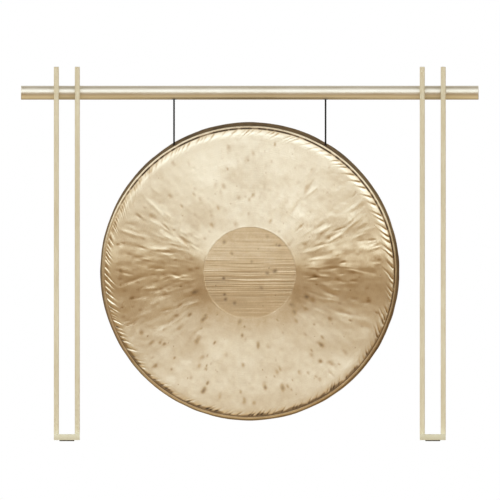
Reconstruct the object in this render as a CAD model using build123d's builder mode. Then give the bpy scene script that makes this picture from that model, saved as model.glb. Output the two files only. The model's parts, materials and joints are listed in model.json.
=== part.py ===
from build123d import *
import math
import os

# A tam tam gong hanging on two cords from a goal-post stand.
# Millimetres. +X runs along the crossbar to the right, +Z is up, and the gong faces -Y.
# The origin is on the floor, below the middle of the crossbar.

# Gong: a bronze sheet pan whose rim is turned back and flares a little
GONG_DIAMETER = 600.0
GONG_SHEET = 1.6
GONG_AXIS_HEIGHT = 338.7
RIM_DEPTH = 45.0
RIM_FLARE = 4.0
SHOULDER_RADIUS = 12.0
FACE_CROWN = 3.0
CENTRE_FLAT_RADIUS = 92.0
CROWN_BLEND_RADIUS = 900.0

# Suspension
CORD_SPACING = 304.0
CORD_DIAMETER = 3.0
RIM_HOLE_DIAMETER = 7.0
RIM_HOLE_DEPTH = 22.0
TOP_KNOT_DIAMETER = 8.0
RIM_KNOT_DIAMETER = 9.0
KNOT_TAIL = 6.0
RUNNING_GAP = 0.3
RIM_KNOT_GAP = 0.8

# Crossbar tube
TUBE_DIAMETER = 28.0
TUBE_WALL = 2.0
CROSSBAR_LENGTH = 918.0
CROSSBAR_HEIGHT = 699.0
PLUG_FLANGE = 2.0
PLUG_SPIGOT = 12.0

# Bush in the tube's underside, with a ball seat above a flared mouth
BUSH_DIAMETER = 12.0
BUSH_HEIGHT = 6.0
PIVOT_ABOVE_UNDERSIDE = 5.0
BUSH_THROAT_DIAMETER = 6.4
BUSH_MOUTH_DIAMETER = 8.8

# Posts
POST_WIDTH = 10.0
POST_DEPTH = 50.0
POST_GAP = 32.0
POST_PAIR_SPACING = 734.0
STAND_HEIGHT = 751.0

# Feet and pads
FOOT_DEPTH = 280.0
FOOT_HEIGHT = 12.0
FOOT_NOSE_RADIUS = 90.0
FOOT_EDGE_RADIUS = 1.0
PAD_DIAMETER = 30.0
PAD_THICKNESS = 3.0
PAD_SHOWING = 2.0
PAD_SPACING = 210.0
PAD_EDGE = 0.8

# Fasteners
SCREW_DIAMETER = 5.0
SCREW_HEAD_DIAMETER = 10.0
SCREW_LENGTH = 28.0
SCREW_SPACING = 28.0
SOCKET_ACROSS_CORNERS = 3.4
SOCKET_DEPTH = 2.0
GRUB_LENGTH = 9.0

# General
EDGE_BREAK = 0.6
FIT_GAP = 0.05
HOLE_SPARE = 1.0
RIM_DRILL_LENGTH = 20.0

TUBE_RADIUS = TUBE_DIAMETER / 2
TUBE_BORE_RADIUS = TUBE_RADIUS - TUBE_WALL
TUBE_UNDERSIDE = CROSSBAR_HEIGHT - TUBE_RADIUS
PLUG_SPIGOT_RADIUS = TUBE_BORE_RADIUS - FIT_GAP
TOP_PIVOT_HEIGHT = TUBE_UNDERSIDE + PIVOT_ABOVE_UNDERSIDE
POST_FOOT_LEVEL = PAD_SHOWING + FOOT_HEIGHT
POST_HEIGHT = STAND_HEIGHT - POST_FOOT_LEVEL
FOOT_WIDTH = POST_GAP + 2 * POST_WIDTH
POST_OFFSET = (POST_GAP + POST_WIDTH) / 2
SIDES = {"left": -1, "right": 1}
UPWARD = (Align.CENTER, Align.CENTER, Align.MIN)
DOWNWARD = (Align.CENTER, Align.CENTER, Align.MAX)

os.makedirs("parts", exist_ok=True)


def save(piece, name):
    """Labels a finished piece and writes it to its own file."""
    piece.part.label = name
    export_step(piece.part, f"parts/{name}.step")


# The sheet of the gong in section: u is the depth behind the shoulder, v the distance from the axis.
gong_radius = GONG_DIAMETER / 2
shoulder_corner = gong_radius - RIM_FLARE
with BuildPart() as upright_gong:
    with BuildSketch(Plane.YZ):
        with BuildLine():
            FilletPolyline(
                (-FACE_CROWN, 0),
                (-FACE_CROWN, CENTRE_FLAT_RADIUS),
                (0, shoulder_corner),
                (RIM_DEPTH, gong_radius),
                radius=[CROWN_BLEND_RADIUS, SHOULDER_RADIUS],
            )
            offset(amount=GONG_SHEET, side=Side.RIGHT)
        make_face()
    revolve(axis=Axis.Y)

# The gong hangs with its centre of mass straight below the line through its two rim holes.
cord_x = CORD_SPACING / 2
wall_radius = shoulder_corner + RIM_FLARE * RIM_HOLE_DEPTH / RIM_DEPTH - GONG_SHEET / 2
hole_above_axis = math.sqrt(wall_radius**2 - cord_x**2)
rim_pivot_height = GONG_AXIS_HEIGHT + hole_above_axis
centre_of_mass = upright_gong.part.center(CenterOf.MASS)
hang_angle = math.degrees(math.atan2(RIM_HOLE_DEPTH - centre_of_mass.Y, hole_above_axis))
hanging = (
    Pos(0, 0, rim_pivot_height) * Rot(hang_angle, 0, 0) * Pos(0, -RIM_HOLE_DEPTH, -hole_above_axis)
)

with BuildPart() as gong:
    add(hanging * upright_gong.part)
    with Locations((-cord_x, 0, rim_pivot_height), (cord_x, 0, rim_pivot_height)):
        Cylinder(RIM_HOLE_DIAMETER / 2, RIM_DRILL_LENGTH, mode=Mode.SUBTRACT)
save(gong, "gong")

# Cords and their knots. A cord turns about the middle of its top knot and of its rim hole.
cord_top = TOP_PIVOT_HEIGHT - TOP_KNOT_DIAMETER / 2 - RUNNING_GAP
wall_slope = math.asin(cord_x / wall_radius)
rim_knot_radius = RIM_KNOT_DIAMETER / 2
rim_knot_drop = (rim_knot_radius + RIM_KNOT_GAP + GONG_SHEET / 2) / math.cos(wall_slope)
for side, sign in SIDES.items():
    x = sign * cord_x

    with BuildPart() as cord:
        with Locations((x, 0, rim_pivot_height)):
            Cylinder(CORD_DIAMETER / 2, cord_top - rim_pivot_height, align=UPWARD)
            Sphere(CORD_DIAMETER / 2)
    save(cord, f"cord_{side}")

    with BuildPart() as top_knot:
        with Locations((x, 0, TOP_PIVOT_HEIGHT)):
            Sphere(TOP_KNOT_DIAMETER / 2)
            Cylinder(CORD_DIAMETER / 2, TOP_KNOT_DIAMETER / 2 + KNOT_TAIL, align=UPWARD)
    save(top_knot, f"top_knot_{side}")

    with BuildPart() as rim_knot:
        with Locations((x, 0, rim_pivot_height - rim_knot_drop)):
            Sphere(rim_knot_radius)
            Cylinder(CORD_DIAMETER / 2, rim_knot_radius + KNOT_TAIL, align=DOWNWARD)
    save(rim_knot, f"rim_knot_{side}")

    # The knot sits in the bush like a ball, and the mouth leaves the cord room to lean.
    seat_radius = TOP_KNOT_DIAMETER / 2 + RUNNING_GAP
    throat_drop = math.sqrt(seat_radius**2 - (BUSH_THROAT_DIAMETER / 2) ** 2)
    with BuildPart() as bush:
        with Locations((x, 0, TUBE_UNDERSIDE)):
            Cylinder(BUSH_DIAMETER / 2, BUSH_HEIGHT, align=UPWARD)
            Cone(
                BUSH_MOUTH_DIAMETER / 2,
                BUSH_THROAT_DIAMETER / 2,
                PIVOT_ABOVE_UNDERSIDE - throat_drop,
                align=UPWARD,
                mode=Mode.SUBTRACT,
            )
        with Locations((x, 0, TOP_PIVOT_HEIGHT)):
            Sphere(seat_radius, mode=Mode.SUBTRACT)
    save(bush, f"cord_bush_{side}")

# Crossbar: a round tube with a hole for each bush, closed by a plug at each end.
tube_length = CROSSBAR_LENGTH - 2 * PLUG_FLANGE
with BuildPart() as crossbar_tube:
    with BuildSketch(Plane.YZ):
        with Locations((0, CROSSBAR_HEIGHT)):
            Circle(TUBE_RADIUS)
            Circle(TUBE_BORE_RADIUS, mode=Mode.SUBTRACT)
    extrude(amount=tube_length / 2, both=True)
    with Locations((-cord_x, 0, CROSSBAR_HEIGHT), (cord_x, 0, CROSSBAR_HEIGHT)):
        Cylinder(
            BUSH_DIAMETER / 2 + FIT_GAP, TUBE_DIAMETER, align=DOWNWARD, mode=Mode.SUBTRACT
        )
save(crossbar_tube, "crossbar_tube")

for side, sign in SIDES.items():
    tube_end = Plane(origin=(sign * tube_length / 2, 0, CROSSBAR_HEIGHT), z_dir=(sign, 0, 0))
    with BuildPart() as plug:
        with BuildSketch(tube_end):
            Circle(TUBE_RADIUS)
        extrude(amount=PLUG_FLANGE)
        outer_face = plug.faces().sort_by(Axis.X)[-1 if sign > 0 else 0]
        chamfer(outer_face.edges(), length=EDGE_BREAK)
        with BuildSketch(tube_end):
            Circle(PLUG_SPIGOT_RADIUS)
        extrude(amount=-PLUG_SPIGOT)
    save(plug, f"crossbar_plug_{side}")


def post_places():
    """Each post's name and the x of its middle."""
    for side, sign in SIDES.items():
        for rank, step in {"outer": 1, "inner": -1}.items():
            yield f"post_{side}_{rank}", sign * (POST_PAIR_SPACING / 2 + step * POST_OFFSET)


# Posts: flat bars on edge, bored for the tube, with screw holes below and a grub screw hole behind.
for name, x in post_places():
    with BuildPart() as post:
        with BuildSketch(Plane.XY.offset(POST_FOOT_LEVEL)):
            with Locations((x, 0)):
                Rectangle(POST_WIDTH, POST_DEPTH)
        extrude(amount=POST_HEIGHT)
        chamfer(post.edges().filter_by(Axis.Z), length=EDGE_BREAK)
        chamfer(post.faces().sort_by(Axis.Z)[-1].edges(), length=EDGE_BREAK)
        with BuildSketch(Plane.YZ.offset(x)):
            with Locations((0, CROSSBAR_HEIGHT)):
                Circle(TUBE_RADIUS + FIT_GAP)
        extrude(amount=POST_WIDTH / 2, both=True, mode=Mode.SUBTRACT)
        with BuildSketch(Plane.XY.offset(POST_FOOT_LEVEL)):
            with Locations((x, -SCREW_SPACING / 2), (x, SCREW_SPACING / 2)):
                Circle(SCREW_DIAMETER / 2 + FIT_GAP)
        extrude(amount=SCREW_LENGTH - FOOT_HEIGHT + HOLE_SPARE, mode=Mode.SUBTRACT)
        with BuildSketch(Plane.XZ.offset(-POST_DEPTH / 2)):
            with Locations((x, CROSSBAR_HEIGHT)):
                Circle(SCREW_DIAMETER / 2 + FIT_GAP)
        extrude(amount=POST_DEPTH / 2 - TUBE_BORE_RADIUS, mode=Mode.SUBTRACT)
    save(post, name)

# Feet: flat bars whose ends bow back slightly to the top, countersunk and pocketed from below.
nose_lean = FOOT_NOSE_RADIUS - math.sqrt(FOOT_NOSE_RADIUS**2 - FOOT_HEIGHT**2)
foot_end = FOOT_DEPTH / 2
foot_top_end = foot_end - nose_lean
for side, sign in SIDES.items():
    x = sign * POST_PAIR_SPACING / 2
    underside = Plane(origin=(x, 0, PAD_SHOWING), x_dir=(1, 0, 0), z_dir=(0, 0, -1))
    with BuildPart() as foot:
        with BuildSketch(Plane.YZ.offset(x)) as side_view:
            with BuildLine():
                Line((-foot_end, PAD_SHOWING), (foot_end, PAD_SHOWING))
                RadiusArc(
                    (foot_end, PAD_SHOWING), (foot_top_end, POST_FOOT_LEVEL), -FOOT_NOSE_RADIUS
                )
                Line((foot_top_end, POST_FOOT_LEVEL), (-foot_top_end, POST_FOOT_LEVEL))
                RadiusArc(
                    (-foot_top_end, POST_FOOT_LEVEL), (-foot_end, PAD_SHOWING), -FOOT_NOSE_RADIUS
                )
            make_face()
            fillet(side_view.vertices().group_by(Axis.Y)[-1], radius=FOOT_EDGE_RADIUS)
        extrude(amount=FOOT_WIDTH / 2, both=True)
        with Locations(underside):
            with GridLocations(2 * POST_OFFSET, SCREW_SPACING, 2, 2):
                CounterSinkHole(
                    SCREW_DIAMETER / 2 + FIT_GAP, SCREW_HEAD_DIAMETER / 2 + FIT_GAP, FOOT_HEIGHT
                )
        with BuildSketch(underside):
            with GridLocations(1, PAD_SPACING, 1, 2):
                Circle(PAD_DIAMETER / 2 + FIT_GAP)
        extrude(amount=PAD_SHOWING - PAD_THICKNESS, mode=Mode.SUBTRACT)
    save(foot, f"foot_{side}")

    for end, way in {"front": -1, "back": 1}.items():
        with BuildPart() as pad:
            with Locations((x, way * PAD_SPACING / 2, 0)):
                Cylinder(PAD_DIAMETER / 2, PAD_THICKNESS, align=UPWARD)
            fillet(pad.edges().sort_by(Axis.Z)[0], radius=PAD_EDGE)
        save(pad, f"foot_pad_{side}_{end}")

# Countersunk screws, two up into each post.
head_radius = SCREW_HEAD_DIAMETER / 2
head_height = head_radius - SCREW_DIAMETER / 2
with BuildPart() as post_screws:
    spots = [(x, way * SCREW_SPACING / 2) for _, x in post_places() for way in (-1, 1)]
    with Locations(*[(x, y, PAD_SHOWING) for x, y in spots]):
        Cone(head_radius, SCREW_DIAMETER / 2, head_height, align=UPWARD)
        Cylinder(SCREW_DIAMETER / 2, SCREW_LENGTH, align=UPWARD)
    with BuildSketch(Plane.XY.offset(PAD_SHOWING)):
        with Locations(*spots):
            RegularPolygon(SOCKET_ACROSS_CORNERS / 2, 6)
    extrude(amount=SOCKET_DEPTH, mode=Mode.SUBTRACT)
save(post_screws, "post_screws")

# Grub screws, one in the rear edge of each post, pressing on the tube.
grub_back = TUBE_RADIUS + FIT_GAP + GRUB_LENGTH
with BuildPart() as tube_grub_screws:
    spots = [(x, CROSSBAR_HEIGHT) for _, x in post_places()]
    with BuildSketch(Plane.XZ.offset(-grub_back)):
        with Locations(*spots):
            Circle(SCREW_DIAMETER / 2)
    extrude(amount=GRUB_LENGTH)
    with BuildSketch(Plane.XZ.offset(-grub_back)):
        with Locations(*spots):
            RegularPolygon(SOCKET_ACROSS_CORNERS / 2, 6)
    extrude(amount=SOCKET_DEPTH, mode=Mode.SUBTRACT)
save(tube_grub_screws, "tube_grub_screws")

cord_length = TOP_PIVOT_HEIGHT - rim_pivot_height
cord_volume = math.pi * (CORD_DIAMETER / 2) ** 2 * (cord_top - rim_pivot_height)
print(f"hang angle {hang_angle:.3f} degrees, rim pivots at z = {rim_pivot_height:.3f}")
print(f"top pivots at z = {TOP_PIVOT_HEIGHT:.3f}, cord from pivot to pivot {cord_length:.2f}")
print(f"a cord's section times its straight run {cord_volume:.1f}; no bends, so no bend radii")
print(f"rim knot drop {rim_knot_drop:.2f}, gong centre of mass {gong.part.center(CenterOf.MASS)}")
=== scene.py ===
"""Looks for the tam tam gong: hammered bronze, champagne metal stand, braided cords."""

import json
import math
from collections import namedtuple

import bpy
import numpy as np
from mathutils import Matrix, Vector


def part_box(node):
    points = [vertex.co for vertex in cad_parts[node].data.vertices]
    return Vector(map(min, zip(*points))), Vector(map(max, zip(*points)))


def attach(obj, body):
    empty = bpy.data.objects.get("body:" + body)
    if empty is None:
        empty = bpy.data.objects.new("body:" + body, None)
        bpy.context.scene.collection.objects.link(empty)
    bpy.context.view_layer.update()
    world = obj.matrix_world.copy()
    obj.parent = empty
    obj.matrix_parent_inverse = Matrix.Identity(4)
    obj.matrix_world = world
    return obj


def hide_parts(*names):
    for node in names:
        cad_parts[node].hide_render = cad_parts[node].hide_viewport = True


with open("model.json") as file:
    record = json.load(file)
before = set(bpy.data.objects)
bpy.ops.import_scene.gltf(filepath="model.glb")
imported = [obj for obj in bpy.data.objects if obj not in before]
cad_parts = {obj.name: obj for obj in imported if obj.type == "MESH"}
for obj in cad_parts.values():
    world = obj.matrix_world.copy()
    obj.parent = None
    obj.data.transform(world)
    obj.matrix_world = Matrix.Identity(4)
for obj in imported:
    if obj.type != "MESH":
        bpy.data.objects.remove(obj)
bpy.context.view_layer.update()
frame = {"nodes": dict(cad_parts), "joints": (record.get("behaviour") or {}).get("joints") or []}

# ---------------------------------------------------------------- sizes and places, in metres
CAMERA_HEIGHT = 0.3834
CAMERA_DISTANCE = 4.0
VIEW_SHIFT = 0.0004
VIEW_WIDTH = 1.003

JOINT = {j["name"]: j for j in frame["joints"]}
RIM_PIVOT_Z = JOINT["gong_tilt"]["pos_m"][2]
CORD_X = JOINT["right_cord_sway"]["pos_m"][0]
CORD_DIAMETER = 0.003
TUBE_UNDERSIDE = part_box("crossbar_tube")[0].z

# The gong's lip, sheet and rim. Its face stands out by the crown and by a low ridge that runs
# across the middle, and ends where the folds start.
GONG_RADIUS = 0.300
SHEET = 0.0016
RIM_DEPTH = 0.045
FACE_CROWN = 0.0050
MIDDLE_RIDGE = 0.0026
MIDDLE_RIDGE_WIDTH = 0.066
CENTRE_RADIUS = 0.092
FACE_EDGE = 0.2880
RIM_HOLE_DEPTH = 0.022
RIM_HOLE_RADIUS = 0.0035


# ---------------------------------------------------------------- camera
def make_camera():
    """A level camera without perspective, straight in front."""
    data = bpy.data.cameras.new("camera")
    data.type = "ORTHO"
    data.ortho_scale = VIEW_WIDTH
    data.clip_end = 100.0
    camera = bpy.data.objects.new("camera", data)
    camera.location = (VIEW_SHIFT, -CAMERA_DISTANCE, CAMERA_HEIGHT)
    camera.rotation_euler = (math.pi / 2, 0, 0)
    bpy.context.scene.collection.objects.link(camera)
    bpy.context.scene.camera = camera


# ---------------------------------------------------------------- mesh helpers
def new_mesh(name, points, faces, materials, indices=None):
    """A smooth, linked object from arrays of points and faces; indices give each face's material."""
    mesh = bpy.data.meshes.new(name)
    mesh.from_pydata([tuple(p) for p in points], [], [tuple(f) for f in faces])
    for material in materials:
        mesh.materials.append(material)
    if indices is not None:
        mesh.polygons.foreach_set("material_index", np.asarray(indices, np.int32))
    mesh.polygons.foreach_set("use_smooth", np.ones(len(mesh.polygons), bool))
    mesh.update()
    obj = bpy.data.objects.new(name, mesh)
    bpy.context.scene.collection.objects.link(obj)
    return obj


def add_attribute(obj, name, values):
    """A number at each vertex, which a material can read."""
    attribute = obj.data.attributes.new(name, "FLOAT", "POINT")
    attribute.data.foreach_set("value", np.asarray(values, np.float32))


def nurbs_line(points):
    """The smooth line of a NURBS spline through a cord's route."""
    curve = bpy.data.curves.new("route", "CURVE")
    curve.dimensions = "3D"
    curve.resolution_u = 24
    spline = curve.splines.new("NURBS")
    spline.points.add(len(points) - 1)
    for place, point in zip(spline.points, points):
        place.co = (*point, 1.0)
    spline.order_u = 3
    spline.use_endpoint_u = True
    obj = bpy.data.objects.new("route", curve)
    line = np.array([v.co for v in bpy.data.meshes.new_from_object(obj).vertices])
    bpy.data.objects.remove(obj)
    return line


def resampled(line, step):
    """The line with its points evenly spaced."""
    gaps = np.linalg.norm(np.diff(line, axis=0), axis=1)
    along = np.concatenate([[0], np.cumsum(gaps)])
    count = max(2, int(round(along[-1] / step)) + 1)
    wanted = np.linspace(0, along[-1], count)
    return np.stack([np.interp(wanted, along, line[:, k]) for k in range(line.shape[1])], axis=1)


# ---------------------------------------------------------------- braided cord
# The relief is a share of the cord's radius, and AROUND is how many points go round it.
STRANDS = 5
BRAID_PITCH = 0.0052
BRAID_RELIEF = 0.20
AROUND = 30
CORD_STEP = 0.0003
NOT_ALONG_A_CORD = (0.3, 0.5, 0.8)


def braid_relief(turn, along):
    """Height, 0 to 1, of crossing strands at a place round and along the cord."""
    a = STRANDS * turn + along / BRAID_PITCH
    b = STRANDS * turn - along / BRAID_PITCH
    over = (np.floor(a) + np.floor(b)) % 2 == 0
    dome_a = np.sqrt(np.clip(1 - (2 * (a % 1) - 1) ** 2, 0, 1))
    dome_b = np.sqrt(np.clip(1 - (2 * (b % 1) - 1) ** 2, 0, 1))
    return np.where(over, dome_a * (0.7 + 0.3 * dome_b), dome_b * (0.7 + 0.3 * dome_a))


def braided_tube(line, diameter):
    """Points and faces of a braided cord with rounded ends along a line."""
    tangents = np.gradient(line, axis=0)
    tangents /= np.linalg.norm(tangents, axis=1)[:, None]
    side = np.cross(tangents[0], NOT_ALONG_A_CORD)
    gaps = np.linalg.norm(np.diff(line, axis=0), axis=1)
    along = np.concatenate([[0], np.cumsum(gaps)])
    turn = np.arange(AROUND) / AROUND
    points = []
    for middle, tangent, distance in zip(line, tangents, along):
        side = side - tangent * (side @ tangent)
        side /= np.linalg.norm(side)
        other = np.cross(tangent, side)
        relief = braid_relief(turn, distance)
        end = min(distance, along[-1] - distance)
        rounding = math.sqrt(max(0.0, 1 - (1 - min(end / (diameter / 2), 1)) ** 2))
        radius = diameter / 2 * (1 + BRAID_RELIEF * relief) * max(rounding, 0.05)
        angle = 2 * math.pi * turn
        points.append(middle + radius[:, None] * (
            np.cos(angle)[:, None] * side + np.sin(angle)[:, None] * other))
    rings = len(line)
    faces = [
        (r * AROUND + k, r * AROUND + (k + 1) % AROUND,
         (r + 1) * AROUND + (k + 1) % AROUND, (r + 1) * AROUND + k)
        for r in range(rings - 1) for k in range(AROUND)
    ]
    faces.append(tuple(reversed(range(AROUND))))
    faces.append(tuple(range((rings - 1) * AROUND, rings * AROUND)))
    return np.concatenate(points), faces


# ---------------------------------------------------------------- node helpers
class Shader:
    """Builds one node material, with short calls for the nodes that it uses."""

    def __init__(self, name):
        self.material = bpy.data.materials.new(name)
        self.material.use_nodes = True
        self.tree = self.material.node_tree
        self.tree.nodes.clear()
        self.out = self.tree.nodes.new("ShaderNodeOutputMaterial")
        self.bsdf = self.tree.nodes.new("ShaderNodeBsdfPrincipled")
        self.link(self.bsdf.outputs["BSDF"], self.out.inputs["Surface"])
        self.coords = self.tree.nodes.new("ShaderNodeTexCoord").outputs["Object"]

    def link(self, source, target):
        self.tree.links.new(source, target)

    def node(self, kind, **settings):
        made = self.tree.nodes.new(kind)
        for key, value in settings.items():
            setattr(made, key, value)
        return made

    def put(self, **values):
        """Constant values straight on the shader's own sockets."""
        for key, value in values.items():
            self.bsdf.inputs[key.replace("_", " ")].default_value = value

    def scaled(self, scale):
        made = self.node("ShaderNodeMapping")
        made.inputs["Scale"].default_value = scale
        self.link(self.coords, made.inputs["Vector"])
        return made.outputs["Vector"]

    def noise(self, coords, detail=3.0, roughness=0.55):
        made = self.node("ShaderNodeTexNoise")
        made.inputs["Scale"].default_value = 1.0
        made.inputs["Detail"].default_value = detail
        made.inputs["Roughness"].default_value = roughness
        self.link(coords, made.inputs["Vector"])
        return made.outputs["Fac"]

    def ramp(self, value, stops):
        made = self.node("ShaderNodeValToRGB")
        elements = made.color_ramp.elements
        while len(elements) < len(stops):
            elements.new(0.5)
        for element, (position, colour) in zip(elements, stops):
            element.position = position
            element.color = (*colour, 1.0)
        self.link(value, made.inputs["Fac"])
        return made.outputs["Color"]

    def remap(self, value, low, high, to_low, to_high):
        made = self.node("ShaderNodeMapRange")
        for key, number in zip(
            ("From Min", "From Max", "To Min", "To Max"), (low, high, to_low, to_high)
        ):
            made.inputs[key].default_value = number
        self.link(value, made.inputs["Value"])
        return made.outputs["Result"]

    def math(self, operation, a, b):
        made = self.node("ShaderNodeMath", operation=operation)
        for socket, value in zip(made.inputs, (a, b)):
            if isinstance(value, (int, float)):
                socket.default_value = value
            else:
                self.link(value, socket)
        return made.outputs[0]

    def bump(self, height, distance, strength=1.0, below=None):
        made = self.node("ShaderNodeBump")
        made.inputs["Strength"].default_value = strength
        made.inputs["Distance"].default_value = distance
        self.link(height, made.inputs["Height"])
        if below is not None:
            self.link(below, made.inputs["Normal"])
        return made.outputs["Normal"]

    def attribute(self, name):
        return self.node("ShaderNodeAttribute", attribute_name=name).outputs["Fac"]

    def tangent(self, axis):
        made = self.node("ShaderNodeTangent", direction_type="RADIAL", axis=axis)
        self.link(made.outputs["Tangent"], self.bsdf.inputs["Tangent"])


def satin_metal(name, light, dark, grain, roughness, anisotropy, axis):
    """Satin metal with fine brushing along one way, faint clouds and scuffs."""
    s = Shader(name)
    s.put(Metallic=1.0, Anisotropic=anisotropy)
    brushing = s.noise(s.scaled(grain), detail=4.0, roughness=0.65)
    clouds = s.noise(s.scaled((9, 9, 9)), detail=4.0)
    scuffs = s.noise(s.scaled((60, 60, 25)), detail=6.0, roughness=0.7)
    tone = s.math("MULTIPLY", s.math("ADD", brushing, clouds), 0.5)
    s.link(s.ramp(tone, [(0.36, dark), (0.62, light)]), s.bsdf.inputs["Base Color"])
    wear = s.math("ADD", s.math("MULTIPLY", scuffs, 0.5), s.math("MULTIPLY", brushing, 0.5))
    s.link(
        s.remap(wear, 0.35, 0.65, roughness - 0.06, roughness + 0.07),
        s.bsdf.inputs["Roughness"],
    )
    s.link(s.bump(brushing, 0.00003, 0.6), s.bsdf.inputs["Normal"])
    s.tangent(axis)
    return s.material


ACROSS_THE_LINES = 0.25
BRONZE_STOPS = [
    (0.0, (0.84, 0.765, 0.58)),
    (0.3, (0.56, 0.425, 0.25)),
    (0.62, (0.22, 0.150, 0.083)),
    (1.0, (0.075, 0.056, 0.038)),
]


def bronze(name, axis, anisotropy, grooves, edge_tint=(1.0, 1.0, 1.0, 1.0)):
    """Gong bronze: its tarnish and painted shade darken it, and fine lathe or brush lines cover it.
    """
    s = Shader(name)
    s.put(Metallic=1.0, Anisotropic=anisotropy, Anisotropic_Rotation=ACROSS_THE_LINES,
          Specular_Tint=edge_tint)
    # The attribute holds the bronze's tarnish together with the shade painted in by the gong's mesh.
    tarnish_and_painted_shade = s.attribute("tarnish_and_painted_shade")
    clouds = s.noise(s.scaled((7, 7, 7)), detail=5.0, roughness=0.6)
    grit = s.noise(s.scaled((240, 240, 240)), detail=3.0, roughness=0.7)
    specks = s.noise(s.scaled((900, 900, 900)), detail=2.0)
    speck = s.remap(specks, 0.74, 0.80, 0.0, 0.35)
    level = s.math("ADD", tarnish_and_painted_shade, s.remap(clouds, 0.35, 0.65, -0.06, 0.06))
    level = s.math("ADD", level, s.remap(grit, 0.35, 0.65, -0.02, 0.02))
    level = s.math("ADD", level, speck)
    s.link(s.ramp(level, BRONZE_STOPS), s.bsdf.inputs["Base Color"])
    s.link(s.remap(level, 0.0, 1.0, 0.36, 0.55), s.bsdf.inputs["Roughness"])
    lines = grooves(s)
    fine = s.bump(lines, 0.00030, 0.8)
    s.link(s.bump(grit, 0.00006, 0.5, fine), s.bsdf.inputs["Normal"])
    s.tangent(axis)
    return s.material


def lathe_lines(s):
    """Concentric grooves round the gong's axis."""
    reach = s.attribute("reach")
    combined = s.node("ShaderNodeCombineXYZ")
    s.link(s.math("MULTIPLY", reach, 700.0), combined.inputs["X"])
    slow = s.noise(s.scaled((12, 12, 12)), detail=2.0)
    s.link(s.math("MULTIPLY", slow, 2.0), combined.inputs["Y"])
    return s.noise(combined.outputs["Vector"], detail=3.0, roughness=0.7)


def brush_lines(s):
    """Straight horizontal scratches."""
    return s.noise(s.scaled((10, 10, 800)), detail=3.0, roughness=0.7)


def cord_material():
    """Black braided yarn without shine."""
    s = Shader("cord_yarn")
    s.put(Metallic=0.0, Specular_IOR_Level=0.05)
    yarn = s.noise(s.scaled((2200, 2200, 1500)), detail=3.0)
    s.link(s.ramp(yarn, [(0.3, (0.003, 0.0025, 0.002)), (0.7, (0.013, 0.011, 0.009))]),
           s.bsdf.inputs["Base Color"])
    s.link(s.remap(yarn, 0.3, 0.7, 0.75, 0.95), s.bsdf.inputs["Roughness"])
    s.link(s.bump(yarn, 0.0001, 0.6), s.bsdf.inputs["Normal"])
    return s.material


def rubber_material():
    """Dark, slightly dusty rubber for the pads."""
    s = Shader("pad_rubber")
    s.put(Metallic=0.0)
    grain = s.noise(s.scaled((900, 900, 900)), detail=3.0)
    dust = s.noise(s.scaled((60, 60, 60)), detail=4.0)
    s.link(s.ramp(dust, [(0.35, (0.022, 0.018, 0.014)), (0.7, (0.050, 0.042, 0.034))]),
           s.bsdf.inputs["Base Color"])
    s.link(s.remap(grain, 0.3, 0.7, 0.7, 0.9), s.bsdf.inputs["Roughness"])
    s.link(s.bump(grain, 0.00015, 0.6), s.bsdf.inputs["Normal"])
    return s.material


def nylon_material():
    """Black nylon for the bushes."""
    s = Shader("bush_nylon")
    s.put(Metallic=0.0)
    grain = s.noise(s.scaled((1500, 1500, 1500)), detail=2.0)
    s.link(s.ramp(grain, [(0.3, (0.012, 0.011, 0.010)), (0.7, (0.030, 0.028, 0.026))]),
           s.bsdf.inputs["Base Color"])
    s.link(s.remap(grain, 0.3, 0.7, 0.42, 0.58), s.bsdf.inputs["Roughness"])
    s.link(s.bump(grain, 0.00004, 0.5), s.bsdf.inputs["Normal"])
    return s.material


def dress(node, material):
    """Gives a CAD node one material."""
    mesh = frame["nodes"][node].data
    mesh.materials.clear()
    mesh.materials.append(material)


def dress_stand():
    """Metal, rubber and nylon for the stand's CAD nodes, by how their names begin or end."""
    post_metal = satin_metal("post_metal", (0.68, 0.63, 0.465), (0.60, 0.545, 0.385),
                             (900, 900, 12), 0.36, 0.4, "Z")
    # The foot wears the posts' champagne metal made darker: painted shade at the bottom of the
    # stand.
    foot_metal = satin_metal("foot_metal", (0.57, 0.51, 0.345), (0.50, 0.445, 0.29),
                             (900, 12, 900), 0.46, 0.3, "X")
    crossbar_metal = satin_metal("crossbar_metal", (0.62, 0.56, 0.44), (0.55, 0.485, 0.355),
                                 (12, 700, 700), 0.42, 0.2, "X")
    steel = satin_metal("screw_steel", (0.50, 0.49, 0.47), (0.36, 0.35, 0.33),
                        (600, 600, 600), 0.35, 0.0, "Z")
    rubber, nylon = rubber_material(), nylon_material()
    for node in frame["nodes"]:
        if node.endswith("screws"):
            dress(node, steel)
        elif node.startswith("post_"):
            dress(node, post_metal)
        elif node.startswith("foot_pad"):
            dress(node, rubber)
        elif node.startswith("foot_"):
            dress(node, foot_metal)
        elif node.startswith("crossbar_"):
            dress(node, crossbar_metal)
        elif node.startswith("cord_bush"):
            dress(node, nylon)


# ---------------------------------------------------------------- cords and knots
# The wraps take up a share of the knot's height and are widest halfway. The cord's own end, the
# core, runs into the knot before its middle and stops beyond it.
KNOT_WRAPS = 3
STEPS_PER_WRAP = 26
WRAP_DIAMETER = 0.0023
WRAP_RADIUS = 0.0014
WRAP_SWELL = 0.0011
KNOT_HEIGHT = 0.0068
WRAPPED_SHARE = 0.72
KNOT_TAIL = 0.006
TAIL_STEPS = 8
CORE_BEFORE = 0.0038
CORE_BEYOND = 0.0030

# How far a cord's mesh runs up into its bush, and how far above the rim's pivot it stops.
CORD_IN_TUBE = 0.0015
CORD_IN_RIM = 0.0040


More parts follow.
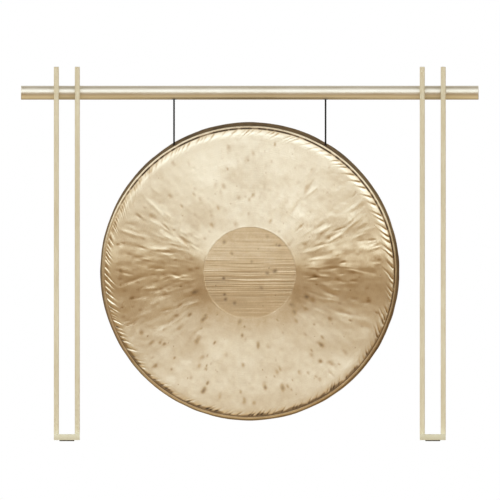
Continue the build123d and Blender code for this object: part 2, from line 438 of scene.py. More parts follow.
def knot_line(centre, way):
    """A barrel knot: wraps wound round the cord, whose tail leaves on the far side (way 1 up,
    -1 down)."""
    points = []
    steps = STEPS_PER_WRAP * KNOT_WRAPS
    for i in range(steps + 1):
        share = i / steps
        angle = 2 * math.pi * KNOT_WRAPS * share
        radius = WRAP_RADIUS + WRAP_SWELL * math.sin(math.pi * share)
        height = way * KNOT_HEIGHT * (share - 0.5) * WRAPPED_SHARE
        points.append((centre.x + radius * math.cos(angle),
                       centre.y + radius * math.sin(angle), centre.z + height))
    for i in range(1, TAIL_STEPS + 1):
        share = i / TAIL_STEPS
        radius = WRAP_RADIUS * (1 - share)
        height = way * (KNOT_HEIGHT * WRAPPED_SHARE / 2 + KNOT_TAIL * share)
        points.append((centre.x + radius, centre.y + radius * 0.3, centre.z + height))
    return np.array(points)


def make_knot(node, body, way, material):
    """The tied knot in place of the CAD's plain one, with the end of the cord inside it."""
    low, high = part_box(node)
    end = low.z if way > 0 else high.z
    half_width = (high.x - low.x) / 2
    centre = Vector(((low.x + high.x) / 2, (low.y + high.y) / 2, end + way * half_width))
    line = resampled(knot_line(centre, way), CORD_STEP)
    points, faces = braided_tube(line, WRAP_DIAMETER)
    up = Vector((0, 0, way))
    core = resampled(np.array([centre - up * CORE_BEFORE, centre + up * CORE_BEYOND]), CORD_STEP)
    more, more_faces = braided_tube(core, CORD_DIAMETER)
    faces = faces + [tuple(i + len(points) for i in f) for f in more_faces]
    knot = new_mesh(node + "_tied", np.concatenate([points, more]), faces, [material])
    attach(knot, body)
    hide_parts(node)
    return knot


def make_cord(side, sign, material):
    """One black cord, straight under the gong's weight, from the bush to the rim hole."""
    x = sign * CORD_X
    top, bottom = TUBE_UNDERSIDE + CORD_IN_TUBE, RIM_PIVOT_Z - CORD_IN_RIM
    route = [(x, 0, top), (x, 0, (top + bottom) / 2), (x, 0, bottom)]
    line = resampled(nurbs_line(route), CORD_STEP)
    points, faces = braided_tube(line, CORD_DIAMETER)
    cord = new_mesh(f"cord_{side}_braid", points, faces, [material])
    knots = [
        make_knot(f"top_knot_{side}", "top_knots", 1, material),
        make_knot(f"rim_knot_{side}", "rim_knots", -1, material),
    ]
    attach(cord, f"cord_{side}")
    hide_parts(f"cord_{side}")


# ---------------------------------------------------------------- noise and marks
def smoothstep(low, high, value):
    share = np.clip((value - low) / (high - low), 0.0, 1.0)
    return share * share * (3 - 2 * share)


def bell(value, middle, width):
    """1 at the middle, falling off smoothly to both sides."""
    return np.exp(-(((value - middle) / width) ** 2))


def lattice(u, v, columns, rows, seed):
    """Smooth noise from 0 to 1 on a lattice that repeats every `columns` along u."""
    values = np.random.default_rng(seed).random((rows, columns))
    i, j = np.floor(u).astype(int), np.floor(v).astype(int)
    fu, fv = u - i, v - j
    fu, fv = fu * fu * (3 - 2 * fu), fv * fv * (3 - 2 * fv)
    i0, i1 = i % columns, (i + 1) % columns
    j0, j1 = np.clip(j, 0, rows - 1), np.clip(j + 1, 0, rows - 1)
    top = values[j0, i0] * (1 - fu) + values[j0, i1] * fu
    bottom = values[j1, i0] * (1 - fu) + values[j1, i1] * fu
    return top * (1 - fv) + bottom * fv


def round_noise(turn, count, seed):
    """Noise from 0 to 1 that changes round the gong only, with count lumps in a whole turn."""
    return lattice(turn * count, np.zeros_like(turn), count, 2, seed)


def clouds(x, z, size, seed):
    """Smooth noise from 0 to 1 over the flat face, with lumps about that size."""
    half = 64
    return lattice(x / size + half, z / size + half, 2 * half, 2 * half, seed)


def streaks(turn, radius, count, length, seed):
    """Noise from 0 to 1 drawn out along the radius."""
    return lattice(turn * count, radius / length, count, int(0.32 / length) + 3, seed)


def brush_lines_field(x, z, length, spacing, columns, rows, seed):
    """Noise from 0 to 1 drawn out to the right and left."""
    return lattice(x / length + columns // 2, z / spacing + rows // 2, columns, rows, seed)


MARK_SKEW = 0.15


def scattered(x, z, count, seed, radii, across, stretch, sector=None):
    """Soft marks lying along the radius: each one's share, 0 to 1, at a place on the face, and
    the largest there. sector gathers them round the horizontal by that many radians."""
    rng = np.random.default_rng(seed)
    total = np.zeros_like(x)
    for i in range(count):
        radius = math.sqrt(rng.uniform(radii[0] ** 2, radii[1] ** 2))
        angle = rng.uniform(0, 2 * math.pi)
        if sector:
            angle = math.pi / 2 * (0.90 if i % 2 else -0.92) + rng.normal(0, sector)
        size = rng.uniform(0, 1)
        wide = across[0] + (across[1] - across[0]) * size
        long = wide * rng.uniform(*stretch)
        strength = rng.uniform(0.35, 1.0)
        lean = angle + rng.normal(0, MARK_SKEW)
        dx, dz = x - radius * math.sin(angle), z - radius * math.cos(angle)
        near = (np.abs(dx) < 2.5 * long) & (np.abs(dz) < 2.5 * long)
        if not near.any():
            continue
        r = dx[near] * math.sin(lean) + dz[near] * math.cos(lean)
        t = dx[near] * math.cos(lean) - dz[near] * math.sin(lean)
        bowl = strength * np.exp(-(np.abs(r / long) ** 2.4) - (t / wide) ** 2)
        total[near] = np.maximum(total[near], bowl)
    return total


# ---------------------------------------------------------------- folds along the edge
SEED = 11
FOLDS = 138
FOLD_GAPS = (0.4, 1.6)
CLOSER_ON_THE_LEFT = 0.40
FOLD_SLANT = 1.1
FOLD_RADIUS = 0.281
FOLD_HEIGHT = 0.0025
FOLD_REACH = (0.0055, 0.0140)
FOLD_STRENGTH = (0.3, 1.0)
FOLD_CREST = 0.78
FOLD_WANDER = 0.0022
SHORTER_LOW_DOWN = 0.35
VALLEY_WIDTH = 0.0009
VALLEY_SPREAD = 0.0020
CRINKLE_HEIGHT = 0.00060


def slanted(turn, inward, wander=0.0):
    """Where on the face's edge a fold starts that passes a place this far inward."""
    return turn + (FOLD_SLANT * inward + wander) / (2 * math.pi * FOLD_RADIUS)


def fold_field(turn, radius):
    """Height of the slanting folds that the hammer left along the face's edge, and the painted
    shade in their valleys. turn runs clockwise seen from the front, in turns from the top."""
    rng = np.random.default_rng(SEED)
    gaps = rng.uniform(*FOLD_GAPS, FOLDS)
    leftward = -np.sin(2 * math.pi * np.arange(FOLDS) / FOLDS)
    gaps *= 1 - CLOSER_ON_THE_LEFT * np.clip(leftward, 0, 1)
    starts = np.concatenate([[0], np.cumsum(gaps)]) / gaps.sum()
    reach = rng.uniform(*FOLD_REACH, FOLDS + 1)
    depth = rng.uniform(*FOLD_STRENGTH, FOLDS + 1)
    reach[-1], depth[-1] = reach[0], depth[0]

    inward = np.clip(FACE_EDGE - radius, 0, 0.04)
    wander = (lattice(turn * 60, radius / 0.006, 60, 60, SEED + 5) - 0.5) * FOLD_WANDER
    bent = slanted(turn, inward, wander) % 1.0
    k = np.clip(np.searchsorted(starts, bent, side="right") - 1, 0, FOLDS - 1)
    width = (starts[k + 1] - starts[k]) * 2 * math.pi * FOLD_RADIUS
    share = (bent - starts[k]) / (starts[k + 1] - starts[k])
    length = reach[k] * (1 - share) + reach[k + 1] * share
    length *= 1 - SHORTER_LOW_DOWN * smoothstep(-0.25, -0.70, np.cos(2 * math.pi * turn))
    strength = depth[k] * (1 - share) + depth[k + 1] * share
    fade = np.exp(-((inward / length) ** 2.2))
    fade *= smoothstep(FACE_EDGE + 0.0018, FACE_EDGE - 0.0014, radius)

    climb = np.clip(np.minimum(share / FOLD_CREST, (1 - share) / (1 - FOLD_CREST)), 0, 1)
    height = FOLD_HEIGHT * strength * fade * (np.sin(climb * math.pi / 2) - 0.5)
    crinkle = lattice(bent * 420, radius / 0.02, 420, 20, SEED + 6)
    height += CRINKLE_HEIGHT * fade * (crinkle - 0.5)
    thick = VALLEY_WIDTH + VALLEY_SPREAD * strength * bell(inward, 0.0050, 0.0040)
    valley = bell(np.minimum(share, 1 - share) * width / thick, 0, 1)
    return height, valley * fade * strength


# ---------------------------------------------------------------- the gong's face
# Dents over the whole face: size, height and seed.
BROAD_DENTS = ((0.085, 0.0022, 21), (0.034, 0.0009, 22))
SMALL_DENTS = (0.016, 0.00030, 33)

# Streaks: how many go round, length and seed.
LONG_STREAKS = (90, 0.040, 24)
FINE_STREAKS = (190, 0.022, 25)
LONG_STREAK_HEIGHT = 0.00024
FINE_STREAK_HEIGHT = 0.00022
STREAK_WARP = 0.012

# Marks: how many, seed, nearest and farthest distance from the axis, least and greatest half
# width, least and greatest length for the width, and how closely they gather at the sides.
RIDGES = (48, SEED + 1, (0.115, 0.262), (0.0020, 0.0042), (3, 7), 0.32)
HOLLOWS = (48, SEED + 2, (0.115, 0.264), (0.0020, 0.0042), (2.2, 5.5), 0.36)
SPOTS = (210, SEED + 3, (0.100, 0.270), (0.0014, 0.0046), (1.1, 2.2))
SPECKS = (60, SEED + 4, (0.012, 0.270), (0.0007, 0.0010), (1.0, 1.6))
CENTRE_DOTS = (14, SEED + 7, (0.012, 0.084), (0.0024, 0.0038), (1.0, 1.3))
RIDGE_HEIGHT = 0.00038
HOLLOW_DEPTH = 0.00050
SPOT_DEPTH = 0.00018
SPECK_DEPTH = 0.00020
DOT_DEPTH = 0.00030
GRAIN_HEIGHT = 0.00018

# Brush lines across the centre: length, spacing, columns, rows and seed.
FINE_BRUSH = (0.080, 0.0015, 32, 256, 28)
COARSE_BRUSH = (0.070, 0.0036, 32, 128, 29)
FINE_BRUSH_HEIGHT = 0.00042
COARSE_BRUSH_HEIGHT = 0.00036
CENTRE_BLUR = 0.0012
CENTRE_DEPTH = 0.00020
RING_HEIGHT = 0.00016


def dents(x, z, radius):
    """Height of the dents, and of the low ridge that runs across the middle."""
    height = sum(
        deep * (clouds(x, z, size, seed) - 0.5) for size, deep, seed in BROAD_DENTS
    ) * (0.35 + 0.65 * smoothstep(0.03, 0.12, radius))
    size, deep, seed = SMALL_DENTS
    height += deep * (clouds(x, z, size, seed) - 0.5)
    height += MIDDLE_RIDGE * bell(z, 0, MIDDLE_RIDGE_WIDTH)
    return height * smoothstep(0.294, 0.262, radius)


def streak_height(x, z, turn, radius, side):
    """Height of the streaks along the radius, which are strongest at the sides."""
    warp = (clouds(x, z, 0.03, 23) - 0.5) * STREAK_WARP
    bent = turn + warp * 0.3
    long = (0.15 + 0.85 * side) * (streaks(bent, radius + warp, *LONG_STREAKS) - 0.5)
    fine = (0.3 + 0.7 * side) * (streaks(bent, radius, *FINE_STREAKS) - 0.5)
    return LONG_STREAK_HEIGHT * long + FINE_STREAK_HEIGHT * fine


def patina_and_painted_shade(x, z, radius, centre):
    """Painted shade just below the centre, over the lower half and low down, and a little tarnish in
    clouds.
    """
    face = 1 - centre
    # Painted shade: the face darker just below the centre and over its lower half, the centre darker
    # in its lower half, all of it darker low down.
    below = bell(radius, 0.100, 0.034) * smoothstep(0.02, -0.05, z)
    tarnish_and_painted_shade = face * (0.19 * below + 0.055 * smoothstep(0.05, -0.08, z))
    tarnish_and_painted_shade += 0.05 * centre * smoothstep(0.02, -0.03, z) + 0.05 * smoothstep(-0.18, -0.26, z)
    tarnish_and_painted_shade += 0.06 * face * (clouds(x, z, 0.024, 34) - 0.5)
    return tarnish_and_painted_shade + 0.08 * (clouds(x, z, 0.10, 30) - 0.5)


def face_field(x, z):
    """Height in metres, and tarnish with painted shade, 0 to 1, of the hammered face at a place on
    it.
    """
    radius = np.hypot(x, z)
    turn = (np.arctan2(x, z) / (2 * math.pi)) % 1.0
    centre = smoothstep(CENTRE_RADIUS + CENTRE_BLUR, CENTRE_RADIUS - CENTRE_BLUR, radius)
    face = 1 - centre
    side = np.abs(np.sin(2 * math.pi * turn)) ** 3
    band = smoothstep(0.098, 0.125, radius) * smoothstep(0.283, 0.255, radius)

    height = dents(x, z, radius) + band * streak_height(x, z, turn, radius, side)
    ridges, hollows = scattered(x, z, *RIDGES), scattered(x, z, *HOLLOWS)
    height += band * (RIDGE_HEIGHT * ridges - HOLLOW_DEPTH * hollows)
    # The extra tarnish at the sides is painted shade; the tarnish in the hollows is patina.
    tarnish_and_painted_shade = band * (0.04 * side + 0.16 * hollows)

    grain = clouds(x, z, 0.008, 26)
    spots, specks = scattered(x, z, *SPOTS), scattered(x, z, *SPECKS)
    dots = scattered(x, z, *CENTRE_DOTS)
    height -= SPOT_DEPTH * spots + SPECK_DEPTH * specks + DOT_DEPTH * dots
    height += face * band * GRAIN_HEIGHT * (grain - 0.5)
    # Spots are tarnish; their extra darkness over the lower half is painted shade.
    spot_tarnish_and_painted_shade = 0.24 + 0.14 * smoothstep(0.05, -0.08, z)
    tarnish_and_painted_shade += spot_tarnish_and_painted_shade * spots * (0.4 + 1.2 * grain) + 0.40 * specks + 0.30 * dots
    tarnish_and_painted_shade += face * 0.07 * (grain - 0.5)

    fold_height, fold_valley_painted_shade = fold_field(turn, radius)
    upward = z / np.maximum(radius, 0.001) + 0.25 * (x < 0)
    lively = 1 - 0.60 * smoothstep(0.10, 0.75, upward)
    height += fold_height * (0.10 + 0.90 * lively)
    # The dark fold valleys, strongest low down and on the left, are painted shade.
    tarnish_and_painted_shade += 0.72 * fold_valley_painted_shade * lively

    wander = (clouds(x, z, 0.06, 27) - 0.5) * 0.0016
    fine = brush_lines_field(x, z + wander, *FINE_BRUSH) - 0.5
    coarse = brush_lines_field(x, z + wander, *COARSE_BRUSH) - 0.5
    deep = 0.25 + 0.3 * clouds(x, z, 0.045, 32) + bell(z, -0.010, 0.032)
    height += centre * deep * (FINE_BRUSH_HEIGHT * fine + COARSE_BRUSH_HEIGHT * coarse)
    height -= centre * CENTRE_DEPTH
    tarnish_and_painted_shade += centre * (0.25 - deep * 0.10 * (fine + coarse))
    ring = bell(radius, CENTRE_RADIUS + 0.0014, 0.0012)
    height += RING_HEIGHT * ring * smoothstep(0.35, 0.7, clouds(x, z, 0.016, 31))
    return height, tarnish_and_painted_shade + patina_and_painted_shade(x, z, radius, centre)


# ---------------------------------------------------------------- the gong's outline
def catmull_rom(points, per_span):
    """A smooth line through the points of an outline."""
    p = np.array([points[0], *points, points[-1]], float)
    t = np.linspace(0, 1, per_span, endpoint=False)[:, None]
    spans = [
        0.5 * (2 * b + (c - a) * t + (2 * a - 5 * b + 4 * c - d) * t**2
               + (3 * b - a - 3 * c + d) * t**3)
        for a, b, c, d in zip(p, p[1:], p[2:], p[3:])
    ]
    return np.concatenate([*spans, [points[-1]]])


# The edge's outline: the face rolls back into a crease, and a round shoulder leads to the wall.
# Each point is its distance from the axis and its depth.
FACE_END = 0.2680
EDGE_OUTLINE = [
    (FACE_END, 0.0000), (0.2740, 0.0002), (0.2790, 0.0006), (0.2830, 0.0013),
    (0.2865, 0.0021), (0.2892, 0.0027), (0.2901, 0.0033), (0.2909, 0.0036), (0.2917, 0.0036),
    (0.2928, 0.0038), (0.2940, 0.0045), (0.2949, 0.0056), (0.2955, 0.0072), (0.2958, 0.0090),
]
WALL_START = EDGE_OUTLINE[-1]
WALL_END = (GONG_RADIUS, RIM_DEPTH)
WALL_ROWS = 26

# How many points go round a ring: out to a distance from the axis, along the edge, on the wall,
# and on the flat of the inside.
POINTS_ROUND = ((0.006, 48), (0.012, 96), (0.024, 192), (0.052, 384), (0.258, 768))
EDGE_POINTS = 1536
WALL_POINTS = 768
INSIDE_POINTS = 384


def outline():
    """Rows of the gong's front from the middle to the lip: distance from the axis, depth, and
    how many points go round."""
    rows, counts = [(0.0, -FACE_CROWN)], [1]
    radius = 0.0012
    while radius < FACE_END - 0.0004:
        rows.append((radius, -FACE_CROWN * (1 - (radius / FACE_END) ** 2)))
        counts.append(next((n for limit, n in POINTS_ROUND if radius < limit), EDGE_POINTS))
        radius += 0.0010 if radius < 0.097 else 0.0017 if radius < 0.256 else 0.0009
    edge = resampled(catmull_rom(EDGE_OUTLINE, 8), 0.0007)
    rows += [tuple(p) for p in edge]
    counts += [EDGE_POINTS] * len(edge)
    start, end = np.array(WALL_START), np.array(WALL_END)
    for i in range(1, WALL_ROWS + 1):
        rows.append(tuple(start + (end - start) * i / WALL_ROWS))
        counts.append(WALL_POINTS)
    return np.array(rows), counts


def outward(rows):
    """Each row's outward direction in the plane of distance and depth."""
    along = np.gradient(rows, axis=0)
    along /= np.linalg.norm(along, axis=1)[:, None]
    return np.stack([along[:, 1], -along[:, 0]], axis=1)


Ring = namedtuple("Ring", "row normal points hammering inward")

# The lip's rounding: how far across the sheet, and how far past the wall's end for its thickness.
LIP_ROLL = ((0.15, 0.33), (0.5, 0.48), (0.85, 0.33))
INSIDE_HAMMERING = 0.7


def gong_rings():
    """The gong's rings, down the front, over the lip and back up the inside. hammering is the
    share of it that shows; inward is how far the ring lies in from the outer side."""
    rows, counts = outline()
    normals = outward(rows)
    rings = [Ring(row, normal, n, 1.0, 0.0) for row, normal, n in zip(rows, normals, counts)]
    for across, beyond in LIP_ROLL:
        row = rows[-1] + np.array((0.0, beyond * SHEET))
        shown = 1 - (1 - INSIDE_HAMMERING) * across
        rings.append(Ring(row, normals[-1], counts[-1], shown, SHEET * across))
    for i in reversed(range(len(rows))):
        (radius, depth), n = rows[i], counts[i]
        on_wall = depth > WALL_START[1]
        if i % 2 and i > 2 and not on_wall:
            continue
        if not on_wall and n > INSIDE_POINTS:
            n = WALL_POINTS if radius > 0.2 else INSIDE_POINTS
        rings.append(Ring(rows[i], normals[i], n, INSIDE_HAMMERING, SHEET))
    return rings


# ---------------------------------------------------------------- the gong's edge and wall
CREASE_RADIUS = 0.2908
CREASE_END = 0.0050
CREASE_DEPTH = 0.0004
WALL_DENT = 0.0009
WALL_GRAIN = 0.0002
OUT_OF_ROUND = 0.0008
SIDE_SHIFT = 0.0013
INSIDE_TARNISH = 0.62
LIP_TARNISH = 0.35
HOLE_TARNISH = 0.85


def crease_field(turn, radius, depth, x, z):
    """How much of the groove between the face and the shoulder shows, 0 to 1, and where it is
    deepest and holds the most painted shade. It is widest at the top and fades out on the left and
    low down."""
    width = 0.0010 + 0.0007 * smoothstep(-0.1, 0.5, z)
    groove = bell(radius, CREASE_RADIUS, width) * (depth < CREASE_END)
    groove = groove * (0.08 + 0.92 * smoothstep(-0.99, -0.72, x))
    groove = groove * (1 - 0.65 * smoothstep(-0.15, -0.55, z))
    return groove, smoothstep(0.16, 0.46, round_noise(turn, 260, 43))


def rolled_edge_painted_shade(turn, radius, z):
    """Painted shade in the rolled edge: a thin band all round, darker at the top, and low down a
    dark band whose inner side teeth break.
    """
    teeth = (round_noise(slanted(turn, FACE_EDGE - radius), 210, 44) - 0.5) * 0.0060
    dark = 0.46 * smoothstep(0.2835, 0.2880, radius + teeth) * smoothstep(0.2914, 0.2902, radius)
    dark += 0.20 * smoothstep(0.2912, 0.2920, radius)
    everywhere = 0.04 + 0.13 * smoothstep(-0.1, 0.4, z)
    dark = everywhere + dark * smoothstep(-0.15, -0.65, z)
    return dark * smoothstep(0.2800, 0.2870, radius)


def ring_points(ring):
    """One ring of the gong in its own axes (right, depth, up), and its tarnish with painted shade.
    """
    turn = np.arange(ring.points) / ring.points
    x, z = np.sin(2 * math.pi * turn), np.cos(2 * math.pi * turn)
    radius, depth = ring.row
    height, tarnish_and_painted_shade = face_field(x * radius, z * radius)

    on_wall = smoothstep(0.2935, 0.2956, radius)
    dent = lattice(turn * 84, depth / 0.016 + 1, 84, 8, 41) - 0.5
    grain = lattice(turn * 230, depth / 0.007 + 1, 230, 10, 42) - 0.5
    height = height * (1 - on_wall) + on_wall * (WALL_DENT * dent + WALL_GRAIN * grain)
    groove, dark = crease_field(turn, radius, depth, x, z)
    height -= CREASE_DEPTH * groove * dark

    # The rolled edge's painted shade is added here.
    tarnish_and_painted_shade = (tarnish_and_painted_shade + rolled_edge_painted_shade(turn, radius, z)) * (1 - 0.6 * on_wall)
    # Painted shade in the groove between the face and the shoulder.
    tarnish_and_painted_shade += groove * (0.50 + 0.40 * dark)
    dark_wall = smoothstep(0.0060, 0.0086, depth) * (radius > 0.2935)
    # The rim wall's dark tone is its patina; its change from lighter low down to darker high up is
    # painted shade.
    shade = 0.28 + 0.52 * smoothstep(-0.9, 1.0, z) + 0.2 * (dent + grain)
    tarnish_and_painted_shade = tarnish_and_painted_shade * (1 - dark_wall) + dark_wall * shade
    if ring.inward >= SHEET:
        tarnish_and_painted_shade = INSIDE_TARNISH + 0.22 * tarnish_and_painted_shade
    elif ring.inward > 0:
        tarnish_and_painted_shade = np.full_like(tarnish_and_painted_shade, LIP_TARNISH)

    height = height * ring.hammering - ring.inward
    bulge = -OUT_OF_ROUND * np.cos(4 * math.pi * turn) - SIDE_SHIFT * np.sin(2 * math.pi * turn)
    bulge *= smoothstep(0.20, 0.28, radius) * smoothstep(RIM_DEPTH, 0.006, depth)
    r = radius + bulge + height * ring.normal[0]
    return np.stack([x * r, depth + height * ring.normal[1], z * r], axis=1), tarnish_and_painted_shade


def stitch(first, count_a, second, count_b):
    """Faces between two rings; one ring may have a whole number of times the other's points."""
    if count_a == 1 or count_b == 1:
        hub, ring, count = (first, second, count_b) if count_a == 1 else (second, first, count_a)
        fan = [(hub, ring + k, ring + (k + 1) % count) for k in range(count)]
        return fan if count_a == 1 else [f[::-1] for f in fan]
    n = min(count_a, count_b)
    a, b = count_a // n, count_b // n
    faces = []
    for k in range(n):
        near = [first + (k * a + i) % count_a for i in range(a + 1)]
        far = [second + (k * b + i) % count_b for i in range(b + 1)]
        faces.append(tuple(near[::-1] + far))
    return faces


def gong_axes():
    """The gong's origin on its shoulder plane, and its right, depth and up directions, from the
    CAD gong: the flat middle of its face gives the way it hangs, its lip the middle."""
    mesh = frame["nodes"]["gong"].data
    low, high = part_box("gong")
    middle = (low + high) / 2
    way = Vector((0, 0, 0))
    for p in mesh.polygons:
        across = math.hypot(p.center.x - middle.x, p.center.z - middle.z)
        if p.normal.y < -0.9 and across < CENTRE_RADIUS / 2:
            way += p.normal * p.area
    way.normalize()
    deep = -way
    points = np.array([v.co for v in mesh.vertices])
    depth = points @ np.array(deep)
    lip = points[depth > depth.max() - 0.0002]
    lip_middle = Vector((lip.max(0) + lip.min(0)) / 2)
    up = Vector((1, 0, 0)).cross(deep)
    return lip_middle - deep * RIM_DEPTH, Vector((1, 0, 0)), deep, up


# ---------------------------------------------------------------- the gong's rim holes
HOLE_ROWS = 3
HOLE_COLUMNS = 3
HOLE_RINGS = (0.35, 0.65, 0.85, 1.0)


def wall_point(turn, depth, inner):
    """A place on the plain rim wall: right, depth, up."""
    share = (depth - WALL_START[1]) / (WALL_END[1] - WALL_START[1])
    radius = WALL_START[0] + (WALL_END[0] - WALL_START[0]) * share - (SHEET if inner else 0)
    return radius * math.sin(2 * math.pi * turn), depth, radius * math.cos(2 * math.pi * turn)


def wall_rings(rings, inner):
    """Which rings make up the plain wall's outer or inner side, from the shoulder to the lip."""
    found = [i for i, ring in enumerate(rings)
             if ring.points == WALL_POINTS and ring.row[1] > WALL_START[1]
             and ring.inward == (SHEET if inner else 0)]
    return sorted(found, key=lambda i: rings[i].row[1])


def cut_hole(points, tarnish_and_painted_shade, starts, depths, sign, inner):
    """Opens one side of the wall round a rim hole: a patch of the grid gives way to rings that
    close in on the hole. Returns the loop of points round the hole, the rings' faces, and the
    patch as the first point of its rows and the columns."""
    radius = wall_point(0, RIM_HOLE_DEPTH, inner)[2]
    turn = math.asin(sign * CORD_X / radius) / (2 * math.pi)
    column = round(turn * WALL_POINTS)
    row = int(np.argmin(np.abs(np.array(depths) - RIM_HOLE_DEPTH)))
    rows, columns = HOLE_ROWS, HOLE_COLUMNS
    patch = {
        (starts[r], (column + c) % WALL_POINTS)
        for r in range(row - rows, row + rows) for c in range(-columns, columns)
    }
    corners = [(-rows, -columns), (-rows, columns), (rows, columns), (rows, -columns)]
    loop = []
    for (r0, c0), (r1, c1) in zip(corners, corners[1:] + corners[:1]):
        steps = max(abs(r1 - r0), abs(c1 - c0))
        for i in range(steps):
            r, c = r0 + (r1 - r0) * i // steps, c0 + (c1 - c0) * i // steps
            loop.append(starts[row + r] + (column + c) % WALL_POINTS)
    slant = math.cos(2 * math.pi * turn)
    middle = np.array(wall_point(turn, RIM_HOLE_DEPTH, inner))
    faces, previous = [], loop
    for share in HOLE_RINGS:
        ring = []
        for start in loop:
            away = points[start] - middle
            angle = math.atan2(away[1], away[0] / slant)
            over = RIM_HOLE_RADIUS * math.cos(angle) / slant / (2 * math.pi * radius)
            hole = np.array(wall_point(
                turn + over, RIM_HOLE_DEPTH + RIM_HOLE_RADIUS * math.sin(angle), inner))
            ring.append(len(points))
            points.append(points[start] * (1 - share) + hole * share)
            tarnish_and_painted_shade.append(HOLE_TARNISH)
        faces += band_faces(previous, ring)
        previous = ring
    return previous, faces if inner else [f[::-1] for f in faces], patch


def band_faces(first, second):
    """Quads between two closed loops of points."""
    following = [(k + 1) % len(first) for k in range(len(first))]
    return [(first[i], first[k], second[k], second[i]) for i, k in enumerate(following)]


# ---------------------------------------------------------------- the gong as one mesh
# Which of the three materials a polygon wears, and how deep the face's material reaches.
FACE, CENTRE, RIM = 0, 1, 2
FACE_DEPTH = 0.0056


def make_gong(materials):
    """The gong's sheet with its two rim holes; materials are the face's, the centre's, the rim's."""
    rings = gong_rings()
    points, tarnish_and_painted_shade, starts = [], [], []
    for ring in rings:
        places, dark = ring_points(ring)
        starts.append(len(points))
        points.extend(places)
        tarnish_and_painted_shade.extend(dark)

    faces, gone = [], set()
    for sign in (-1, 1):
        loops = []
        for inner in (False, True):
            wall = wall_rings(rings, inner)
            loop, made, patch = cut_hole(points, tarnish_and_painted_shade, [starts[i] for i in wall],
                                         [rings[i].row[1] for i in wall], sign, inner)
            loops.append(loop)
            faces += made
            gone |= patch
        faces += band_faces(*loops)
    kinds = [RIM] * len(faces)

    for i, (ring, after) in enumerate(zip(rings, rings[1:])):
        radius, depth = ring.row
        kind = CENTRE if radius < CENTRE_RADIUS else FACE
        if ring.inward > 0 or depth > FACE_DEPTH:
            kind = RIM
        first = starts[i] if ring.inward == 0 else starts[i + 1]
        on_grid = ring.points == after.points == WALL_POINTS
        for k, f in enumerate(stitch(starts[i], ring.points, starts[i + 1], after.points)):
            if not (on_grid and (first, k) in gone):
                faces.append(f)
                kinds.append(kind)

    local = np.array(points)
    origin, right, deep, up = gong_axes()
    world = (np.array(origin) + local[:, :1] * np.array(right)
             + local[:, 1:2] * np.array(deep) + local[:, 2:] * np.array(up))
    gong = new_mesh("gong_bronze_sheet", world, faces, materials, kinds)
    add_attribute(gong, "tarnish_and_painted_shade", tarnish_and_painted_shade)
    add_attribute(gong, "reach", np.hypot(local[:, 0], local[:, 2]) + local[:, 1])
    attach(gong, "gong")
    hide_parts("gong")


# ---------------------------------------------------------------- studio
STUDIO_STRENGTH = 2.10
STUDIO_HEIGHT = [
    (-1.0, (0.64, 0.57, 0.43)), (-0.80, (0.45, 0.375, 0.26)), (-0.58, (0.31, 0.235, 0.15)),
    (-0.30, (0.185, 0.122, 0.068)), (-0.12, (0.205, 0.138, 0.075)), (0.0, (0.41, 0.335, 0.240)),
    (0.12, (0.73, 0.76, 0.76)), (0.26, (1.00, 1.14, 1.36)), (0.60, (0.98, 1.13, 1.40)),
    (0.82, (0.60, 0.62, 0.66)), (1.0, (0.26, 0.25, 0.24)),
]
STUDIO_SIDE = [
    (-1.0, (1.05, 1.03, 1.00)), (-0.45, (1.00, 0.98, 0.95)), (0.0, (1, 1, 1)),
    (0.45, (1.10, 1.08, 1.05)), (1.0, (0.54, 0.46, 0.37)),
]
STUDIO_DEPTH = [(-1.0, (1, 1, 1)), (0.0, (0.95, 0.94, 0.92)), (0.5, (0.70, 0.66, 0.60)),
                (1.0, (0.50, 0.46, 0.41))]


def area_light(name, place, target, size, power):
    """A soft light that neither the camera nor the metal's mirror image shows."""
    data = bpy.data.lights.new(name, "AREA")
    data.shape = "RECTANGLE"
    data.size, data.size_y = size
    data.energy = power
    light = bpy.data.objects.new(name, data)
    light.location = place
    way = Vector(target) - Vector(place)
    light.rotation_euler = way.to_track_quat("-Z", "Y").to_euler()
    light.visible_camera = False
    light.visible_glossy = False
    bpy.context.scene.collection.objects.link(light)


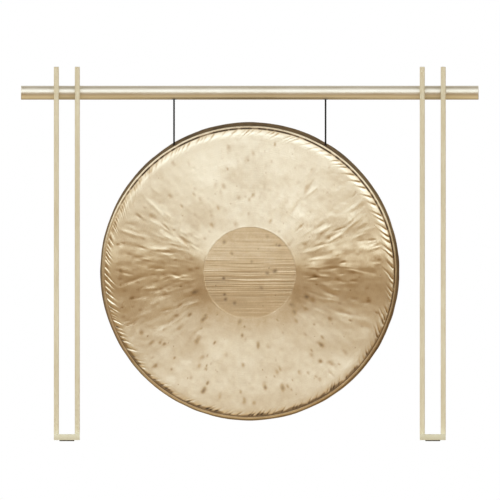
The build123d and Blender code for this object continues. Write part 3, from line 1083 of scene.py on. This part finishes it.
def make_world():
    """White for the camera. What metal mirrors is brightest a little above the horizon, darkest
    and warmest a little below it, and dimmer overhead, far to the right and behind."""
    world = bpy.data.worlds.new("studio")
    bpy.context.scene.world = world
    world.use_nodes = True
    tree = world.node_tree
    tree.nodes.clear()
    link = tree.links.new
    split = tree.nodes.new("ShaderNodeSeparateXYZ")
    link(tree.nodes.new("ShaderNodeTexCoord").outputs["Generated"], split.inputs["Vector"])
    colour = None
    for source, stops in (("Z", STUDIO_HEIGHT), ("X", STUDIO_SIDE), ("Y", STUDIO_DEPTH)):
        place = tree.nodes.new("ShaderNodeMapRange")
        place.inputs["From Min"].default_value = -1.0
        link(split.outputs[source], place.inputs["Value"])
        ramp = tree.nodes.new("ShaderNodeValToRGB")
        ramp.color_ramp.interpolation = "EASE"
        link(place.outputs["Result"], ramp.inputs["Fac"])
        while len(ramp.color_ramp.elements) < len(stops):
            ramp.color_ramp.elements.new(0.5)
        for element, (position, shade) in zip(ramp.color_ramp.elements, stops):
            element.position = (position + 1) / 2
            element.color = (*shade, 1.0)
        if colour is None:
            colour = ramp.outputs["Color"]
            continue
        product = tree.nodes.new("ShaderNodeMix")
        product.data_type = "RGBA"
        product.blend_type = "MULTIPLY"
        product.inputs["Factor"].default_value = 1.0
        link(colour, product.inputs["A"])
        link(ramp.outputs["Color"], product.inputs["B"])
        colour = product.outputs["Result"]
    mirrored = tree.nodes.new("ShaderNodeBackground")
    mirrored.inputs["Strength"].default_value = STUDIO_STRENGTH
    link(colour, mirrored.inputs["Color"])
    plain = tree.nodes.new("ShaderNodeBackground")
    plain.inputs["Color"].default_value = (1, 1, 1, 1)
    mix = tree.nodes.new("ShaderNodeMixShader")
    link(tree.nodes.new("ShaderNodeLightPath").outputs["Is Camera Ray"], mix.inputs["Fac"])
    link(mirrored.outputs["Background"], mix.inputs[1])
    link(plain.outputs["Background"], mix.inputs[2])
    out = tree.nodes.new("ShaderNodeOutputWorld")
    link(mix.outputs["Shader"], out.inputs["Surface"])


def make_floor():
    """A wide pale floor that catches the shadow."""
    s = Shader("studio_floor")
    s.put(Base_Color=(0.80, 0.76, 0.70, 1.0), Roughness=0.8, Metallic=0.0)
    half = 30.0
    floor = new_mesh("studio_floor", [(-half, -half, 0), (half, -half, 0), (half, half, 0),
                                      (-half, half, 0)], [(0, 1, 2, 3)], [s.material])
    floor.visible_glossy = False


def make_lights():
    """Two soft lights, one high up in front and a weaker one behind."""
    area_light("key", (-0.4, -2.2, 2.4), (0, 0, 0.4), (2.6, 1.2), 30)
    area_light("back", (0.6, 2.4, 2.0), (0, 0, 0.4), (2.0, 1.0), 10)


# ---------------------------------------------------------------- build
make_camera()
yarn = cord_material()
for side, sign in (("left", -1), ("right", 1)):
    make_cord(side, sign, yarn)

make_gong([
    bronze("gong_face", "Y", 0.86, lathe_lines),
    bronze("gong_centre", "Z", 0.6, brush_lines),
    bronze("gong_rim", "Y", 0.4, lathe_lines, (0.42, 0.38, 0.33, 1.0)),
])

dress_stand()
make_world()
make_floor()
make_lights()
bpy.context.scene.view_settings.view_transform = "Standard"
